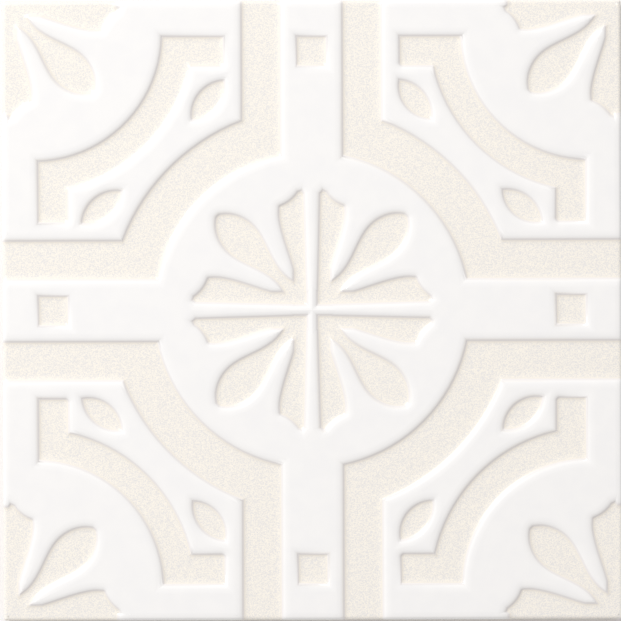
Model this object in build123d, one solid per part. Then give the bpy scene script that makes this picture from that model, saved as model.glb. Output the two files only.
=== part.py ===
from build123d import *
import math
import os

# A square relief wall tile, pressed and glazed as one piece.
# It lies on its back: the back ribs stand on z = 0 and the relief faces up.
# The pattern is the same in each quarter, and each quarter is its own mirror image
# about the diagonal, so it is drawn once, in the quarter where x and y are above zero.
# Outlines give the foot line, where a rounded shoulder meets the sunk ground.
# Lengths are in millimetres and angles in degrees.

# Body
tile_size = 200.0
tile_thickness = 8.0
edge_round = 2.5
corner_round = 0.8
back_chamfer = 0.6

# Relief: the shoulder is a quarter ellipse, steep at the foot, made of short flats
relief_depth = 1.2
shoulder_width = 2.8
shoulder_flats = 3

# Plain cross arms, and the sunk band that runs beside them and round the disc
arm_width = 19.8
band_width = 12.75
disc_reach = 50.7
disc_arc_radius = 51.1
band_reach = 65.1
band_arc_radius = 67.2

# Sunk square on each arm
square_size = 9.8
square_distance = 83.55

# Sunk bow round the corner block: two arcs and two square-ended tabs
bow_near_reach = 75.2
bow_near_radius = 52.0
bow_far_reach = 85.4
bow_far_radius = 41.1
bow_outer_side = 88.5
bow_tab_width = 9.9
bow_tab_end = 28.3
bow_corner_round = 1.3

# Sunk pointed leaves between the bow and the band
leaf_top = (28.2, 74.4)
leaf_foot = (38.8, 61.4)
leaf_bulge_in = 4.0
leaf_bulge_out = 3.65

# Petals of a rosette quarter, measured from the rosette's centre
corner_rosette_distance = 100.9
bar_half_width_inside = 1.55
bar_half_width_outside = 2.5
drop_side = [(3.4, 8.6), (8.6, 11.3), (13.1, 17.9), (19.2, 27.9), (24.7, 30.9), (30.1, 31.0)]
drop_tip_round = 1.5
tulip_tip_height = 37.7
tulip_top = (3.4, 38.8)
tulip_shoulder = (4.6, 38.3)
tulip_dip = (6.7, 35.9)
tulip_corner = (10.6, 33.7)
tulip_flank = [(10.8, 30.6), (10.2, 26.8), (8.4, 20.5)]
tulip_neck = (6.1, 13.3)
tulip_corner_round = 1.0

# Keying pockets in the back
key_rows = 6
key_margin = 13.0
key_rib_width = 5.0
key_depth = 0.8
key_draft = 20.0

# Sizes that follow from the ones above
ground_height = tile_thickness - relief_depth
well_outside = tile_size / 2 + 20.0
arm_half = arm_width / 2
diagonal = math.sqrt(0.5)
on_floor = (Align.CENTER, Align.CENTER, Align.MIN)


def shoulder_levels():
    """Distance out from the foot line and height above the ground, from the foot up.

    The last flat runs a little past the raised face, so that it cuts the face cleanly.
    """
    levels = []
    for step in range(shoulder_flats + 1):
        angle = math.pi / 2 * step / shoulder_flats
        levels.append((shoulder_width * (1 - math.cos(angle)), relief_depth * math.sin(angle)))
    (out_before, height_before), (out, height) = levels[-2:]
    overshoot = 0.25
    levels[-1] = (out + overshoot * (out - out_before), height + overshoot * (height - height_before))
    return levels


def rectangle_between(x_low, x_high, y_low, y_high):
    """A rectangle given by its sides."""
    middle = Pos((x_low + x_high) / 2, (y_low + y_high) / 2)
    return middle * Rectangle(x_high - x_low, y_high - y_low)


def disc_on_diagonal(distance, radius):
    """A disc whose centre is on the diagonal, at this distance from the tile's centre."""
    return Pos(distance * diagonal, distance * diagonal) * Circle(radius)


def mirrored(shape):
    """The mirror image about the diagonal."""
    return mirror(shape, about=Plane(origin=(0, 0, 0), z_dir=(-1, 1, 0)))


def swapped(points):
    """The same points mirrored about the diagonal, in the opposite order."""
    return [(y, x) for x, y in reversed(points)]


def grown_points(points, out):
    """Moves each side of a closed outline outwards, mitred at its points."""
    count = len(points)
    pairs = [(points[i - 1], points[i]) for i in range(count)]
    turn = math.copysign(1, sum(a[0] * b[1] - b[0] * a[1] for a, b in pairs))
    moved = []
    for i in range(count):
        before, here, after = points[i - 1], points[i], points[(i + 1) % count]
        normals = []
        for start, end in ((before, here), (here, after)):
            length = turn * math.dist(start, end)
            normals.append(((end[1] - start[1]) / length, (start[0] - end[0]) / length))
        (ax, ay), (bx, by) = normals
        step = out / (1 + ax * bx + ay * by)
        moved.append((here[0] + step * (ax + bx), here[1] + step * (ay + by)))
    return moved


def grown_face(runs, out):
    """A face grown from a closed outline of runs: two points make a line, more make a curve."""
    points = grown_points([point for run in runs for point in run[:-1]], out)
    points.append(points[0])
    edges = []
    first = 0
    for run in runs:
        stretch = points[first:first + len(run)]
        edges.append(Line(*stretch) if len(run) == 2 else Spline(*stretch))
        first += len(run) - 1
    return make_face(Curve() + edges)


def round_corners(face, radius, places):
    """Rounds the corners of a face that lie nearest to these places."""
    near = [min(face.vertices(), key=lambda v: math.dist((v.X, v.Y), place)) for place in places]
    return fillet(near, radius)


def band_face(out):
    """Beside both arms from the tile's edge, then round the disc."""
    near = arm_half - out
    far = arm_half + band_width + out
    upright = rectangle_between(near, far, near, well_outside)
    level = rectangle_between(near, well_outside, near, far)
    outer = disc_on_diagonal(band_reach - band_arc_radius, band_arc_radius + out)
    corner = rectangle_between(near, well_outside, near, well_outside) & outer
    disc = disc_on_diagonal(disc_reach - disc_arc_radius, disc_arc_radius - out)
    return corner + upright + level - disc


def bow_face(out):
    """Concave towards the corner block, with a square-ended tab at each end."""
    outside = bow_outer_side + out
    inside = bow_outer_side - bow_tab_width - out
    end = bow_tab_end - out
    join = bow_outer_side / 2
    near = disc_on_diagonal(bow_near_reach + bow_near_radius, bow_near_radius + out)
    far = disc_on_diagonal(bow_far_reach + bow_far_radius, bow_far_radius - out)
    bow = near & rectangle_between(0, outside, 0, outside)
    bow += rectangle_between(end, join, inside, outside)
    bow += rectangle_between(inside, outside, end, join)
    return round_corners((bow - far).face(), bow_corner_round + out, [(end, inside), (inside, end)])


def leaf_face(out):
    """Where two discs overlap, one bulging towards the arm and one away from it."""
    span_x = leaf_foot[0] - leaf_top[0]
    span_y = leaf_foot[1] - leaf_top[1]
    span = math.hypot(span_x, span_y)
    sides = []
    for bulge, side in ((leaf_bulge_in, 1), (leaf_bulge_out, -1)):
        radius = (span**2 / 4 + bulge**2) / (2 * bulge)
        back = side * (radius - bulge) / span
        centre_x = (leaf_top[0] + leaf_foot[0]) / 2 - back * span_y
        centre_y = (leaf_top[1] + leaf_foot[1]) / 2 + back * span_x
        sides.append(Pos(centre_x, centre_y) * Circle(radius + out))
    return sides[0] & sides[1]


def square_face(out):
    """The small sunk square on an arm."""
    side = square_size + 2 * out
    return Pos(0, square_distance) * Rectangle(side, side)


def drop_face(out):
    """A petal on the diagonal, narrow at the rosette's centre and broad outside."""
    tip = drop_side[-1]
    stem = drop_side[0]
    runs = [drop_side, [tip, tip[::-1]], swapped(drop_side), [stem[::-1], stem]]
    return round_corners(grown_face(runs, out), drop_tip_round + out, [tip, tip[::-1]])


def half_tulip_face(out):
    """A petal beside the rosette's upright bar, with a notched outer end."""
    centre = (bar_half_width_inside, bar_half_width_inside)
    tip = (bar_half_width_outside, tulip_tip_height)
    root = (tulip_neck[0], bar_half_width_inside)
    runs = [
        [centre, tip],
        [tip, tulip_top],
        [tulip_top, tulip_shoulder],
        [tulip_shoulder, tulip_dip, tulip_corner],
        [tulip_corner, *tulip_flank, tulip_neck],
        [tulip_neck, root],
        [root, centre],
    ]
    return round_corners(grown_face(runs, out), tulip_corner_round + out, [tulip_corner])


def hollow(face_at):
    """The hollow over an outline, whose sides rise from the ground in a rounded shoulder."""
    sections = [Pos(0, 0, ground_height + height) * face_at(out).face() for out, height in shoulder_levels()]
    return loft(sections, ruled=True)


def make_quarter():
    """All hollows of one quarter, with the square of one arm."""
    leaf = hollow(leaf_face)
    half_tulip = hollow(half_tulip_face)
    rosette = Part() + [hollow(drop_face), half_tulip, mirrored(half_tulip)]
    to_corner = Pos(corner_rosette_distance, corner_rosette_distance) * Rot(0, 0, 180)
    band = hollow(band_face)
    bow = hollow(bow_face)
    square = hollow(square_face)
    return [band, bow, leaf, mirrored(leaf), square, rosette, to_corner * rosette]


def make_blank():
    """The plain tile: rounded top edge, nearly square corners and a chamfered back."""
    blank = Box(tile_size, tile_size, tile_thickness, align=on_floor)
    blank = fillet(blank.edges().filter_by(Axis.Z), corner_round)
    blank = chamfer(blank.faces().sort_by(Axis.Z)[0].edges(), back_chamfer)
    return fillet(blank.faces().sort_by(Axis.Z)[-1].edges(), edge_round)


def make_key_pockets():
    """Shallow drafted pockets that leave a margin and a grid of ribs to stand on."""
    pitch = (tile_size - 2 * key_margin + key_rib_width) / key_rows
    side = pitch - key_rib_width
    pocket = extrude(Rectangle(side, side), amount=key_depth, taper=key_draft)
    return GridLocations(pitch, pitch, key_rows, key_rows) * pocket


quarter = make_quarter()
tile = make_blank() - [Rot(0, 0, 90 * turn) * hollows for turn in range(4) for hollows in quarter]
tile -= make_key_pockets()

os.makedirs("parts", exist_ok=True)
export_step(tile, "parts/tile.step")
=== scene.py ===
"""Dresses a square relief wall tile and sets it out for its portrait, seen from straight above."""

import math
import random

import bmesh
import bpy
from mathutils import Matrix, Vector
from mathutils.geometry import delaunay_2d_cdt
from mathutils.kdtree import KDTree


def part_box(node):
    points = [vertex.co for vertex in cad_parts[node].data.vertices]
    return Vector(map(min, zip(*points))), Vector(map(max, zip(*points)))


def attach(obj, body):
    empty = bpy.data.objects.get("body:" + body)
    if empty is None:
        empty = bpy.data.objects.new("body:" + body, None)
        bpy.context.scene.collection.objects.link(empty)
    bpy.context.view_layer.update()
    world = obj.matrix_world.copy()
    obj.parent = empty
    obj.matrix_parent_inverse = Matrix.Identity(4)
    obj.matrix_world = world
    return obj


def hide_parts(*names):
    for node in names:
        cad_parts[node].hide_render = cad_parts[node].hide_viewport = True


bl_info = {
    "name": "Relief Wall Tile",
    "version": (1, 0, 0),
    "blender": (4, 5, 0),
    "location": "View3D > Sidebar > Tile",
    "description": "Glazes a pressed relief wall tile and lights it as a flat product",
    "category": "Object",
}

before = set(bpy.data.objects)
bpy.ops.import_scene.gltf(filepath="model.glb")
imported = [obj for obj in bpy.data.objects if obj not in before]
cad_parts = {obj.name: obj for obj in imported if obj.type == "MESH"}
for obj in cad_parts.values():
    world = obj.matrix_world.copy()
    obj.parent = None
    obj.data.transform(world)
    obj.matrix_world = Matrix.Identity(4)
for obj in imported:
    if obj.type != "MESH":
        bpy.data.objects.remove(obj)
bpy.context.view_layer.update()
MM = 0.001
TILE_HIGH = Vector(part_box("tile")[1])
HALF_SIDE = TILE_HIGH.x

# The construction's own sizes, which its mesh is read by
RELIEF_DEPTH = 1.2 * MM
SHOULDER_WIDTH = 2.8 * MM
SHOULDER_FLATS = 3
EDGE_ROUND = 2.5 * MM
CORNER_ROUND = 0.8 * MM
ARM_SIDE = 9.9 * MM
BAND_SIDE = 22.65 * MM
TULIP_END = 62.6 * MM
GROUND_HEIGHT = TILE_HIGH.z - RELIEF_DEPTH

# The columns of the construction's shoulder levels
OUT, HEIGHT = 0, 1

# How closely the construction's mesh is read and cut
WELD_DISTANCE = 0.002 * MM
FLAT_ANGLE = math.radians(0.2)
SLACK = 0.01 * MM
LEVEL_NORMAL = 0.99
CUT_SLACK = 1e-7
PLACE_DIGITS = 8

# The ground's new net: it is kept only inside its border
NET_INSIDE_BORDER = 1
NET_SLACK = 1e-9

# The glaze's section across a foot line: how fast it levels out above and below the line,
# and the rings that are cut to take it
RISE_FADE = 0.8 * MM
FOOT_FADE = 0.6 * MM
FOOT_SHARE = FOOT_FADE / (FOOT_FADE + RISE_FADE)
RISE_RINGS = [ring * MM for ring in (0.1, 0.22, 0.6, 0.85, 1.15, 1.9, 2.35)]
FOOT_RINGS = [ring * MM for ring in (0.15, 0.38, 0.8)]
RING_CLEARANCE = 0.93
RING_STEP = 0.6 * MM
FOOT_STEP = 0.1 * MM

# The glazed outer edge: its rounding, how the raised face sags towards it, how near the sides
# it takes its height from the relief further in, how low it reaches, and its cuts
GLAZED_EDGE_ROUND = 1.2 * MM
EDGE_SAG = 0.55 * MM
SAG_FADE = 1.0 * MM
EDGE_ZONE = 1.7 * MM
EDGE_LOW = 5.2 * MM
EDGE_INSETS = [inset * MM for inset in (2.5, 2.1, 1.7, 1.2, 0.85, 0.55, 0.3, 0.12, 0.03)]
EDGE_CHANGES = (ARM_SIDE, BAND_SIDE, TULIP_END)
EDGE_CUTS = [cut * MM for cut in (-3.4, -2.0, -1.2, -0.7, -0.3, 0, 0.3, 0.7, 1.2, 2.0, 3.4)]

# Edges stay sharp between faces that meet at more than this angle, below this height
SHARP_ANGLE = math.radians(50)
SHARP_BELOW = GROUND_HEIGHT - 2 * MM

# The stipple's uneven grid: its step, how far its points stray and its first row, in steps
GRAIN_STEP = 0.75 * MM
GRAIN_SHIFT = 0.3
GRAIN_FIRST_ROW = 0.37
SEED = 11

# The mix node's kind, its two inputs and its output, for colours and for plain values
COLOUR_MIX = ("RGBA", 6, 7, 2)
VALUE_MIX = ("FLOAT", 2, 3, 0)

# Spans over which a finish sets in or ends, as shares of the relief's height
RAISED_START = (0.2, 0.52)
POOL_START = (0.02, 0.3)
CREST_START, CREST_END = (0.5, 0.62), (0.82, 0.7)
# Span of the painted shade line along the relief's foot, where the glaze meets the ground
FOOT_SHADE_START, FOOT_SHADE_END = (0.15, 0.38), (0.72, 0.48)
GLOSS_START = (0.0, 0.5)
CALM_START = (0.05, 0.35)

# Spans of the grain's noise that make its light and dark speckle and its pits
SPECKLE_SPAN = (0.38, 0.62)
PIT_SPAN = (0.48, 0.32)
GRAIN_DETAIL = 3.0
GRAIN_ROUGHNESS = 0.65

# Soft random patterns: size of their features, span of the noise, and its detail
CLOUDS = (6 * MM, 0.3, 0.7, 2.0)
CREAM_PATCHES = (45 * MM, 0.5, 0.62, 2.0)
GLAZE_RUNS = (9 * MM, 0.2, 0.8, 4.0)
CLAY_SPECKLE = (0.9 * MM, 0.35, 0.65, 4.0)

# Tints, as shares of a finish's own colour
SPECKLE_DARK, SPECKLE_LIGHT = (0.895, 0.91, 0.95), (1.085, 1.07, 1.03)
PIT_TINT = (0.86, 0.89, 0.97)
POOL_TINT = (0.99, 0.965, 0.92)
CLOUD_DARK, CLOUD_LIGHT = (0.99, 0.99, 0.992), (1.01, 1.008, 1.004)
CREAM_TINT = (0.99, 0.965, 0.925)
# Greyer, darker white painted along the foot line as painted shade
FOOT_PAINTED_SHADE = (0.935, 0.912, 0.908)
CLAY_DARK, CLAY_LIGHT = (0.9, 0.88, 0.85), (1.06, 1.06, 1.07)
PIT_STRENGTH = 0.7
CREAM_STRENGTH = 0.6

# The sides: how far the glaze's runs reach down, and the heights between which it ends
RUN_LENGTH = 1.2 * MM
GLAZE_END = (3.5 * MM, 4.1 * MM)

# Gloss of the finishes, how much of the grain is left on the raised face, and how far
# the bump swings, in grain heights
GROUND_ROUGHNESS = 0.38
RAISED_ROUGHNESS = 0.18
CLAY_ROUGHNESS = 0.85
RAISED_GRAIN = 0.12
GRAIN_SWING = 2

# The picture's width, and the tile's width in it, in pixels
PICTURE_PIXELS = 621
TILE_PIXELS = 620.5

# The stage, in metres, watts and, for the camera, millimetres
FLOOR_SIDE = 6.0
FLOOR_COLOUR = (0.86, 0.87, 0.88, 1)
FLOOR_ROUGHNESS = 0.8
ROOM_COLOUR = (1, 0.967, 0.957, 1)
ROOM_LIGHT = 0.643
KEY_PLACE = (-1.0, 1.0, 1.35)
KEY_SIZE = 0.7
KEY_POWER = 26.2
SENSOR_WIDTH = 36.0
FARTHEST_VIEW = 20.0


class TileSettings(bpy.types.PropertyGroup):
    """Colours, finish and framing of the tile."""

    glaze_colour: bpy.props.FloatVectorProperty(
        name="Glaze", description="White glaze of the raised relief",
        subtype="COLOR", size=3, min=0, max=1, default=(0.865, 0.865, 0.86))
    ground_colour: bpy.props.FloatVectorProperty(
        name="Ground", description="Ivory glaze of the sunk ground",
        subtype="COLOR", size=3, min=0, max=1, default=(0.847, 0.819, 0.762))
    body_colour: bpy.props.FloatVectorProperty(
        name="Fired body", description="Unglazed clay of the sides and the back",
        subtype="COLOR", size=3, min=0, max=1, default=(0.68, 0.58, 0.47))
    grain_height: bpy.props.FloatProperty(
        name="Grain height", description="How far the stipple rises and falls",
        unit="LENGTH", default=0.02 * MM)
    grain_size: bpy.props.FloatProperty(
        name="Grain size", description="Size of the finest stipple in the ground",
        unit="LENGTH", default=0.37 * MM)
    picture_side: bpy.props.FloatProperty(
        name="Picture side", description="Width of the tile's plane that the picture takes in",
        unit="LENGTH", default=2 * HALF_SIDE * PICTURE_PIXELS / TILE_PIXELS)
    picture_shift: bpy.props.FloatVectorProperty(
        name="Picture shift", description="How far the camera stands off the tile's centre",
        subtype="TRANSLATION", unit="LENGTH", size=2, default=(-0.58 * MM, -0.10 * MM))
    picture_roll: bpy.props.FloatProperty(
        name="Picture roll", description="Turn of the camera about its own line of sight",
        subtype="ANGLE", default=math.radians(-0.2))
    lens: bpy.props.FloatProperty(
        name="Lens", description="Focal length in millimetres",
        unit="CAMERA", default=150.0)


def select_only(thing):
    """Makes one object the selected and active one."""
    bpy.ops.object.select_all(action="DESELECT")
    thing.select_set(True)
    bpy.context.view_layer.objects.active = thing


def pick_faces(thing, wanted):
    """Selects, in face mode, the faces that a test wants, and leaves the piece in edit mode."""
    bpy.ops.object.mode_set(mode="EDIT")
    bpy.ops.mesh.select_mode(type="FACE")
    bpy.ops.mesh.select_all(action="DESELECT")
    bpy.ops.object.mode_set(mode="OBJECT")
    for face in thing.data.polygons:
        face.select = wanted(face)
    bpy.ops.object.mode_set(mode="EDIT")


def copied_node(node_name, piece_name):
    """A free copy of a construction node, welded into one closed skin."""
    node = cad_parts[node_name]
    piece = bpy.data.objects.new(piece_name, node.data.copy())
    piece.data.name = piece_name
    bpy.context.collection.objects.link(piece)
    select_only(piece)
    if piece.data.has_custom_normals:
        bpy.ops.mesh.customdata_custom_splitnormals_clear()
    bpy.ops.object.mode_set(mode="EDIT")
    bpy.ops.mesh.select_all(action="SELECT")
    bpy.ops.mesh.remove_doubles(threshold=WELD_DISTANCE)
    bpy.ops.mesh.dissolve_limited(angle_limit=FLAT_ANGLE, delimit=set())
    bpy.ops.object.mode_set(mode="OBJECT")
    return piece


def construction_levels():
    """The construction's shoulder: distance out from the foot line and height above the ground."""
    turns = [math.pi / 2 * step / SHOULDER_FLATS for step in range(SHOULDER_FLATS + 1)]
    return [(SHOULDER_WIDTH * (1 - math.cos(turn)), RELIEF_DEPTH * math.sin(turn))
            for turn in turns]


def interpolated(pairs, value, by):
    """Reads one column of a rising table of pairs from the other."""
    for before, after in zip(pairs, pairs[1:]):
        if value <= after[by]:
            share = (value - before[by]) / (after[by] - before[by])
            return before[1 - by] + share * (after[1 - by] - before[1 - by])
    return pairs[-1][1 - by]


def fading(distance, fade, reach):
    """A share that falls from one at no distance to zero at its reach, fast at first."""
    last = math.exp(-reach / fade)
    return (math.exp(-min(distance, reach) / fade) - last) / (1 - last)


def glazed_height(out):
    """Height of the glaze above the ground, at a distance out from the foot line."""
    if out < 0:
        return RELIEF_DEPTH * FOOT_SHARE * math.exp(out / FOOT_FADE)
    return RELIEF_DEPTH * (1 - (1 - FOOT_SHARE) * fading(out, RISE_FADE, SHOULDER_WIDTH))


def inset_of(place):
    """How far a place lies inside the tile's outer sides and their rounded corners."""
    across, along = abs(place.x), abs(place.y)
    corner = HALF_SIDE - CORNER_ROUND
    if min(across, along) > corner:
        return CORNER_ROUND - math.hypot(across - corner, along - corner)
    return HALF_SIDE - max(across, along)


def edge_drop(place, radius):
    """How far a rounded outer edge falls below its face over a place."""
    short = radius - max(0, inset_of(place))
    return radius - math.sqrt(radius**2 - short**2) if short > 0 else 0


def on_round_edge(place):
    """Whether a place lies on the raised face's rounded outer edge."""
    return abs(TILE_HIGH.z - edge_drop(place, EDGE_ROUND) - place.z) < 2 * SLACK


def glazed_place(place, rise):
    """A place's height once glazed, if the glaze stands this far above the ground there."""
    sag = EDGE_SAG * fading(inset_of(place), SAG_FADE, EDGE_ROUND) * rise / RELIEF_DEPTH
    return GROUND_HEIGHT + rise - sag - edge_drop(place, GLAZED_EDGE_ROUND)


def on_ground(place):
    """Whether a place is at the height of the sunk ground."""
    return abs(place.z - GROUND_HEIGHT) < SLACK


def is_ground(face):
    """Whether a face is part of the flat sunk ground."""
    return face.normal.z > LEVEL_NORMAL and all(on_ground(vertex.co) for vertex in face.verts)


def is_shoulder(places):
    """Whether a face with these corners belongs to a shoulder of the relief."""
    low = min(place.z for place in places)
    high = max(place.z for place in places)
    if low < GROUND_HEIGHT - SLACK or high - low < SLACK:
        return False
    return not all(on_round_edge(place) for place in places)


def is_above_sides(face):
    """Whether a face lies above the tile's plain upright sides."""
    return all(vertex.co.z > EDGE_LOW for vertex in face.verts)


def cut_shoulder_rings(tile, levels):
    """Cuts level rings into the flat shoulders, so that they can take a rounded section."""
    mesh = tile.data
    for out in RISE_RINGS:
        height = GROUND_HEIGHT + interpolated(levels, out, OUT)
        pick_faces(tile, lambda face: is_shoulder([mesh.vertices[i].co for i in face.vertices]))
        bpy.ops.mesh.bisect(plane_co=(0, 0, height), plane_no=(0, 0, 1), threshold=CUT_SLACK)
        bpy.ops.object.mode_set(mode="OBJECT")


def ground_regions(shape):
    """The faces of each separate stretch of sunk ground."""
    ground = [face for face in shape.faces if is_ground(face)]
    left = set(ground)
    regions = []
    for start in ground:
        if start not in left:
            continue
        left.discard(start)
        region = [start]
        for face in region:
            for edge in face.edges:
                for other in edge.link_faces:
                    if other in left:
                        left.discard(other)
                        region.append(other)
        regions.append(region)
    return regions


def border_of(region):
    """The edges round a region, each with its corners in the region's own direction."""
    faces = set(region)
    return [(loop.edge, loop.vert, loop.link_loop_next.vert)
            for face in region for loop in face.loops
            if sum(other in faces for other in loop.edge.link_faces) == 1]


def way_in(start, end):
    """The level direction from a border line into its region."""
    along = end - start
    return Vector((-along.y, along.x, 0)).normalized()


def foot_line(sides):
    """A search tree of points along some foot lines, with the way into the ground at each."""
    facing = {}
    for start, end in sides:
        inward = way_in(start, end)
        parts = max(1, math.ceil((end - start).length / FOOT_STEP))
        for part in range(parts + 1):
            place = start.lerp(end, part / parts).to_tuple(PLACE_DIGITS)
            facing[place] = facing.get(place, Vector()) + inward
    tree = KDTree(len(facing))
    for index, place in enumerate(facing):
        tree.insert(place, index)
    tree.balance()
    return tree, list(facing.values())


def rise_beside(foot, place):
    """How far the glaze stands above the ground over a place, by its nearest foot line."""
    tree, inward = foot
    nearest, index, away = tree.find(Vector((place.x, place.y, GROUND_HEIGHT)))
    sunk = (place.xy - nearest.xy).dot(inward[index].xy) > 0
    return glazed_height(-away if sunk else away)


def ring_points(sides, tree):
    """Points inside a region, on rings beside its border."""
    points = []
    for start, end in sides:
        for ring in FOOT_RINGS:
            place = (start + end) / 2 + way_in(start, end) * ring
            if tree.find(place)[2] > RING_CLEARANCE * ring:
                points.append(place)
    return points


def grain_points(sides, tree, chance):
    """Points of an uneven grid inside a region, clear of its rings."""
    points = []
    low = min(place.y for side in sides for place in side)
    high = max(place.y for side in sides for place in side)
    row_step = GRAIN_STEP * math.sqrt(3) / 2
    for row in range(int((high - low) / row_step) + 1):
        y = low + (row + GRAIN_FIRST_ROW) * row_step
        crossings = sorted(start.x + (y - start.y) / (end.y - start.y) * (end.x - start.x)
                           for start, end in sides if (start.y > y) != (end.y > y))
        for left, right in zip(crossings[::2], crossings[1::2]):
            for step in range(int((right - left) / GRAIN_STEP) + 1):
                place = Vector((left + (step + row % 2 / 2) * GRAIN_STEP, y, GROUND_HEIGHT))
                place.x += chance.uniform(-GRAIN_SHIFT, GRAIN_SHIFT) * GRAIN_STEP
                place.y += chance.uniform(-GRAIN_SHIFT, GRAIN_SHIFT) * GRAIN_STEP
                clear = tree.find(place)[2] > FOOT_RINGS[-1] + GRAIN_STEP / 4
                if left < place.x < right and clear:
                    points.append(place)
    return points


def split_borders(shape):
    """Divides the ground's long border lines, so that its skin has points to hold on to."""
    for region in ground_regions(shape):
        for edge, start, _ in border_of(region):
            parts = math.ceil(edge.calc_length() / RING_STEP)
            for left in range(parts, 1, -1):
                _, start = bmesh.utils.edge_split(edge, start, 1 / left)


def relay_ground(shape, chance):
    """Replaces the flat sunk ground with a fine skin, and returns its new points and foot lines."""
    foot_sides = []
    grown = []
    for region in ground_regions(shape):
        border = border_of(region)
        sides = [(start.co.copy(), end.co.copy()) for _, start, end in border]
        foot_sides += [side for side in sides
                       if max(inset_of(place) for place in side) > EDGE_ZONE]
        tree, _ = foot_line(sides)
        points = ring_points(sides, tree) + grain_points(sides, tree, chance)
        corners = list(dict.fromkeys(start for _, start, _ in border))
        number = {corner: index for index, corner in enumerate(corners)}
        flat = [corner.co.xy for corner in corners] + [point.xy for point in points]
        edges = [(number[start], number[end]) for _, start, end in border]
        places, _, faces, origins, _, _ = delaunay_2d_cdt(
            flat, edges, [], NET_INSIDE_BORDER, NET_SLACK)
        bmesh.ops.delete(shape, geom=region, context="FACES_KEEP_BOUNDARY")
        used = {index for face in faces for index in face}
        made = []
        for index, (place, origin) in enumerate(zip(places, origins)):
            if index not in used:
                made.append(None)
            elif origin and origin[0] < len(corners):
                made.append(corners[origin[0]])
            else:
                made.append(shape.verts.new((place.x, place.y, GROUND_HEIGHT)))
                grown.append(made[-1])
        for face in faces:
            shape.faces.new([made[index] for index in face])
    return grown, foot_line(foot_sides)


def cut_across(shape, faces, axis, distances):
    """Cuts some faces by planes across one axis."""
    edges = dict.fromkeys(edge for face in faces for edge in face.edges)
    corners = dict.fromkeys(vertex for face in faces for vertex in face.verts)
    pieces = [*faces, *edges, *corners]
    for distance in distances:
        place, across = Vector(), Vector()
        place[axis], across[axis] = distance, 1
        pieces = bmesh.ops.bisect_plane(
            shape, geom=pieces, dist=CUT_SLACK, plane_co=place, plane_no=across)["geom"]


def cut_outer_edge(shape):
    """Cuts the rounded outer edge, so that it can follow the ground where that reaches it."""
    changes = [side * (change + cut)
               for side in (-1, 1) for change in EDGE_CHANGES for cut in EDGE_CUTS]
    insets = [side * (HALF_SIDE - inset) for side in (-1, 1) for inset in EDGE_INSETS]
    for axis in range(2):
        rim = [face for face in shape.faces if is_above_sides(face)
               and all(inset_of(vertex.co) < EDGE_ROUND + SLACK for vertex in face.verts)]
        cut_across(shape, rim, axis, changes)
        upper = [face for face in shape.faces if is_above_sides(face) and not is_ground(face)]
        cut_across(shape, upper, axis, insets)


def shoulder_points(shape):
    """The points part of the way up the relief's shoulders."""
    shoulder = [face for face in shape.faces
                if is_shoulder([corner.co for corner in face.verts])]
    return {vertex for face in shoulder for vertex in face.verts
            if GROUND_HEIGHT + SLACK < vertex.co.z < TILE_HIGH.z - SLACK}


def rise_at(vertex, foot, shoulder, levels):
    """How far the glaze stands above the ground at a point, or nothing if it stays as it is."""
    place = vertex.co
    above_sides = place.z > EDGE_LOW
    if inset_of(place) < EDGE_ZONE and above_sides:
        limit = HALF_SIDE - EDGE_ZONE
        inner = Vector([max(-limit, min(limit, value)) for value in place.xy] + [0])
        return rise_beside(foot, inner)
    if on_ground(place):
        tree, _ = foot
        return glazed_height(-tree.find(place)[2])
    if vertex in shoulder:
        return glazed_height(interpolated(levels, place.z - GROUND_HEIGHT, HEIGHT))
    if inset_of(place) < EDGE_ROUND + SLACK and above_sides:
        return RELIEF_DEPTH
    return None


def glaze_relief(tile, grain_height):
    """Gives the relief the glaze's soft section, and the sunk ground its stipple."""
    levels = construction_levels()
    cut_shoulder_rings(tile, levels)
    shape = bmesh.new()
    shape.from_mesh(tile.data)
    rise_layer = shape.verts.layers.float.new("rise")
    cut_outer_edge(shape)
    split_borders(shape)
    shoulder = shoulder_points(shape)
    chance = random.Random(SEED)
    grown, foot = relay_ground(shape, chance)
    for vertex in shape.verts:
        rise = rise_at(vertex, foot, shoulder, levels)
        vertex[rise_layer] = 1.0 if rise is None else rise / RELIEF_DEPTH
        if rise is not None:
            vertex.co.z = glazed_place(vertex.co, rise)
    for vertex in grown:
        calm = 1 - vertex[rise_layer] / FOOT_SHARE
        vertex.co.z += chance.uniform(-1, 1) * grain_height * calm
    bmesh.ops.recalc_face_normals(shape, faces=shape.faces)
    shape.to_mesh(tile.data)
    shape.free()


def smooth_skin(tile):
    """Shades the tile smooth, with sharp edges only at its sides and back."""
    select_only(tile)
    bpy.ops.object.shade_smooth_by_angle(angle=SHARP_ANGLE)
    corners = tile.data.vertices
    for edge in tile.data.edges:
        if min(corners[i].co.z for i in edge.vertices) > SHARP_BELOW:
            edge.use_edge_sharp = False
    weighted = tile.modifiers.new("even_normals", "WEIGHTED_NORMAL")
    weighted.keep_sharp = True
    bpy.ops.object.modifier_apply(modifier=weighted.name)


def material_named(name):
    """A new node material with its shader ready."""
    material = bpy.data.materials.new(name)
    material.use_nodes = True
    shader = material.node_tree.nodes["Principled BSDF"]
    return material, material.node_tree, shader


def add_node(tree, kind, **values):
    """Adds a node, setting its properties, and its inputs where a value's name is one."""
    node = tree.nodes.new(kind)
    for name, value in values.items():
        if name in node.inputs:
            node.inputs[name].default_value = value
        else:
            setattr(node, name, value)
    return node


def feed(tree, socket, value):
    """Links a socket to another one, or sets it to a plain value."""
    if isinstance(value, bpy.types.NodeSocket):
        tree.links.new(value, socket)
    else:
        socket.default_value = value


def ranged(tree, source, low, high, to_low=0.0, to_high=1.0):
    """A soft step of a value from one height to another."""
    step = add_node(tree, "ShaderNodeMapRange", interpolation_type="SMOOTHSTEP")
    for name, value in (("Value", source), ("From Min", low), ("From Max", high),
                        ("To Min", to_low), ("To Max", to_high)):
        feed(tree, step.inputs[name], value)
    return step.outputs["Result"]


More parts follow.
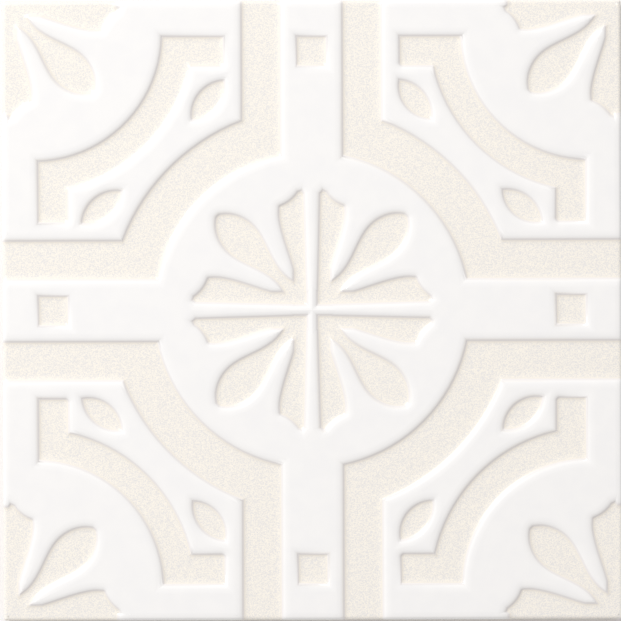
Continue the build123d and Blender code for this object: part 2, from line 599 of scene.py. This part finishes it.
def mixed(tree, share, first, second, sockets=COLOUR_MIX):
    """A mix of two colours, or of two values, each a socket or plain."""
    kind, first_input, second_input, output = sockets
    mix = add_node(tree, "ShaderNodeMix", data_type=kind)
    feed(tree, mix.inputs["Factor"], share)
    feed(tree, mix.inputs[first_input], first)
    feed(tree, mix.inputs[second_input], second)
    return mix.outputs[output]


def calculated(tree, operation, *values):
    """One sum or product of values, each a socket or plain."""
    node = add_node(tree, "ShaderNodeMath", operation=operation)
    for socket, value in zip(node.inputs, values):
        feed(tree, socket, value)
    return node.outputs[0]


def bump_between(tree, value, start, end):
    """A share that is one only where a value is between two soft steps."""
    return calculated(tree, "MULTIPLY", ranged(tree, value, *start), ranged(tree, value, *end))


def unevenness(tree, place, size, low, high, detail):
    """A soft random value over the surface, between 0 and 1, with features of this size."""
    noise = add_node(tree, "ShaderNodeTexNoise", Scale=1 / size, Detail=detail)
    feed(tree, noise.inputs["Vector"], place)
    return ranged(tree, noise.outputs["Fac"], low, high)


def tinted(colour, shares):
    """A plain colour with each of its channels scaled."""
    return [value * share for value, share in zip(colour, shares)] + [1]


def grain_group():
    """A fine stipple: its height and its darker pits, from places in metres."""
    group = bpy.data.node_groups.new("fine_grain", "ShaderNodeTree")
    for name, way, kind in (("Place", "INPUT", "NodeSocketVector"),
                            ("Size", "INPUT", "NodeSocketFloat"),
                            ("Height", "OUTPUT", "NodeSocketFloat"),
                            ("Pits", "OUTPUT", "NodeSocketFloat")):
        group.interface.new_socket(name, in_out=way, socket_type=kind)
    start = group.nodes.new("NodeGroupInput")
    end = group.nodes.new("NodeGroupOutput")
    fine = add_node(
        group, "ShaderNodeTexNoise", Detail=GRAIN_DETAIL, Roughness=GRAIN_ROUGHNESS)
    feed(group, fine.inputs["Vector"], start.outputs["Place"])
    feed(group, fine.inputs["Scale"], calculated(group, "DIVIDE", 1.0, start.outputs["Size"]))
    feed(group, end.inputs["Height"], fine.outputs["Fac"])
    feed(group, end.inputs["Pits"], ranged(group, fine.outputs["Fac"], *PIT_SPAN))
    return group


def ground_glaze(tree, ivory, grain, rise):
    """Colour of the stippled ivory glaze, darker in its pits and where it pools at a foot."""
    speckled = ranged(tree, grain.outputs["Height"], *SPECKLE_SPAN)
    ground = mixed(tree, speckled, tinted(ivory, SPECKLE_DARK), tinted(ivory, SPECKLE_LIGHT))
    pits = calculated(tree, "MULTIPLY", grain.outputs["Pits"], PIT_STRENGTH)
    ground = mixed(tree, pits, ground, tinted(ivory, PIT_TINT))
    return mixed(tree, ranged(tree, rise, *POOL_START), ground, tinted(ivory, POOL_TINT))


def raised_glaze(tree, glaze, place, rise):
    """Colour of the white glaze, faintly cloudy, with cream patches along the crests."""
    cloudy = unevenness(tree, place, *CLOUDS)
    white = mixed(tree, cloudy, tinted(glaze, CLOUD_DARK), tinted(glaze, CLOUD_LIGHT))
    crest = bump_between(tree, rise, CREST_START, CREST_END)
    patches = unevenness(tree, place, *CREAM_PATCHES)
    cream = calculated(tree, "MULTIPLY", crest, patches)
    cream = calculated(tree, "MULTIPLY", cream, CREAM_STRENGTH)
    return mixed(tree, cream, white, tinted(glaze, CREAM_TINT))


def bare_clay(tree, clay, place):
    """Colour of the speckled clay of the sides and the back."""
    speckle = unevenness(tree, place, *CLAY_SPECKLE)
    return mixed(tree, speckle, tinted(clay, CLAY_DARK), tinted(clay, CLAY_LIGHT))


def glaze_reach(tree, place):
    """Where the tile is glazed: above a line round its sides that wanders with the runs."""
    parts = add_node(tree, "ShaderNodeSeparateXYZ")
    feed(tree, parts.inputs[0], place)
    run = unevenness(tree, place, *GLAZE_RUNS)
    lower = calculated(tree, "MULTIPLY_ADD", run, -RUN_LENGTH, parts.outputs["Z"])
    return ranged(tree, lower, *GLAZE_END)


def glazed_face_material(settings):
    """White glaze on the raised relief, ivory, stippled glaze on the ground, a painted shade line
    along the relief's foot, and bare clay.
    """
    material, tree, shader = material_named("glazed_face")
    place = add_node(tree, "ShaderNodeTexCoord").outputs["Object"]
    rise = add_node(tree, "ShaderNodeAttribute", attribute_name="rise").outputs["Fac"]
    grain = add_node(tree, "ShaderNodeGroup")
    grain.node_tree = grain_group()
    feed(tree, grain.inputs["Place"], place)
    feed(tree, grain.inputs["Size"], settings.grain_size)

    glaze = settings.glaze_colour
    ground = ground_glaze(tree, settings.ground_colour, grain, rise)
    white = raised_glaze(tree, glaze, place, rise)
    glazes = mixed(tree, ranged(tree, rise, *RAISED_START), ground, white)
    # Painted shade: the glaze turns a darker grey along the foot line, on every side of the relief
    painted_shade = bump_between(tree, rise, FOOT_SHADE_START, FOOT_SHADE_END)
    glazes = mixed(tree, painted_shade, glazes, tinted(glaze, FOOT_PAINTED_SHADE))
    clay = bare_clay(tree, settings.body_colour, place)
    glazed = glaze_reach(tree, place)
    feed(tree, shader.inputs["Base Color"], mixed(tree, glazed, clay, glazes))

    gloss = ranged(tree, rise, *GLOSS_START, GROUND_ROUGHNESS, RAISED_ROUGHNESS)
    feed(tree, shader.inputs["Roughness"], mixed(tree, glazed, CLAY_ROUGHNESS, gloss, VALUE_MIX))

    calm = ranged(tree, rise, *CALM_START, 1.0, RAISED_GRAIN)
    fine = calculated(tree, "MULTIPLY", grain.outputs["Height"], calm)
    distance = settings.grain_height * GRAIN_SWING
    bump = add_node(tree, "ShaderNodeBump", Strength=1.0, Distance=distance)
    feed(tree, bump.inputs["Height"], fine)
    feed(tree, shader.inputs["Normal"], bump.outputs["Normal"])
    return material


class TILE_OT_dress(bpy.types.Operator):
    """Copy the tile's construction, soften its relief and glaze it"""

    bl_idname = "tile.dress"
    bl_label = "Glazed Tile"

    def execute(self, context):
        settings = context.scene.tile_settings
        tile = copied_node("tile", "relief_tile")
        glaze_relief(tile, settings.grain_height)
        tile.data.materials.clear()
        tile.data.materials.append(glazed_face_material(settings))
        smooth_skin(tile)
        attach(tile, "root")
        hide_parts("tile")
        return {"FINISHED"}


class TILE_OT_stage(bpy.types.Operator):
    """Add the pale floor, the soft light from the upper left and the camera overhead"""

    bl_idname = "tile.stage"
    bl_label = "Stage"

    def execute(self, context):
        self.add_floor()
        self.add_lights(context.scene)
        self.add_camera(context.scene)
        context.scene.view_settings.view_transform = "Standard"
        return {"FINISHED"}

    @staticmethod
    def add_floor():
        """The plain pale floor that the tile lies on."""
        bpy.ops.object.select_all(action="DESELECT")
        bpy.ops.mesh.primitive_plane_add(size=FLOOR_SIDE)
        floor = bpy.context.active_object
        floor.name = "floor"
        material, _, shader = material_named("pale_floor")
        shader.inputs["Base Color"].default_value = FLOOR_COLOUR
        shader.inputs["Roughness"].default_value = FLOOR_ROUGHNESS
        floor.data.materials.append(material)

    @staticmethod
    def add_lights(scene):
        """An evenly lit room, and a square soft light that faces the tile's centre."""
        world = bpy.data.worlds.new("soft_room")
        world.use_nodes = True
        background = world.node_tree.nodes["Background"]
        background.inputs["Color"].default_value = ROOM_COLOUR
        background.inputs["Strength"].default_value = ROOM_LIGHT
        scene.world = world
        bpy.ops.object.light_add(type="AREA", location=KEY_PLACE)
        key = bpy.context.active_object
        key.name = "key"
        key.data.size = KEY_SIZE
        key.data.energy = KEY_POWER
        key.rotation_euler = (-Vector(KEY_PLACE)).to_track_quat("-Z", "Y").to_euler()

    @staticmethod
    def add_camera(scene):
        """A camera straight above the tile, as far away as its lens asks for."""
        settings = scene.tile_settings
        data = bpy.data.cameras.new("overhead")
        data.lens = settings.lens
        data.sensor_width = SENSOR_WIDTH
        data.clip_end = FARTHEST_VIEW
        camera = bpy.data.objects.new("overhead", data)
        bpy.context.collection.objects.link(camera)
        away = settings.picture_side * settings.lens / SENSOR_WIDTH
        camera.location = (*settings.picture_shift, TILE_HIGH.z + away)
        camera.rotation_euler = (0, 0, settings.picture_roll)
        scene.camera = camera


class TILE_PT_panel(bpy.types.Panel):
    """Lists the tile's settings and its operators"""

    bl_idname = "TILE_PT_panel"
    bl_label = "Relief Wall Tile"
    bl_space_type = "VIEW_3D"
    bl_region_type = "UI"
    bl_category = "Tile"

    def draw(self, context):
        settings = context.scene.tile_settings
        for name in settings.bl_rna.properties.keys():
            if name not in {"rna_type", "name"}:
                self.layout.prop(settings, name)
        for operator in (TILE_OT_dress, TILE_OT_stage):
            self.layout.operator(operator.bl_idname)


CLASSES = (TileSettings, TILE_OT_dress, TILE_OT_stage, TILE_PT_panel)


def register():
    """Adds the classes and the scene's settings."""
    for item in CLASSES:
        bpy.utils.register_class(item)
    bpy.types.Scene.tile_settings = bpy.props.PointerProperty(type=TileSettings)


def unregister():
    """Takes the settings and the classes away again."""
    del bpy.types.Scene.tile_settings
    for item in reversed(CLASSES):
        bpy.utils.unregister_class(item)


def main():
    """Makes the tile and its stage."""
    register()
    bpy.ops.tile.dress()
    bpy.ops.tile.stage()


if __name__ == "__main__":
    main()
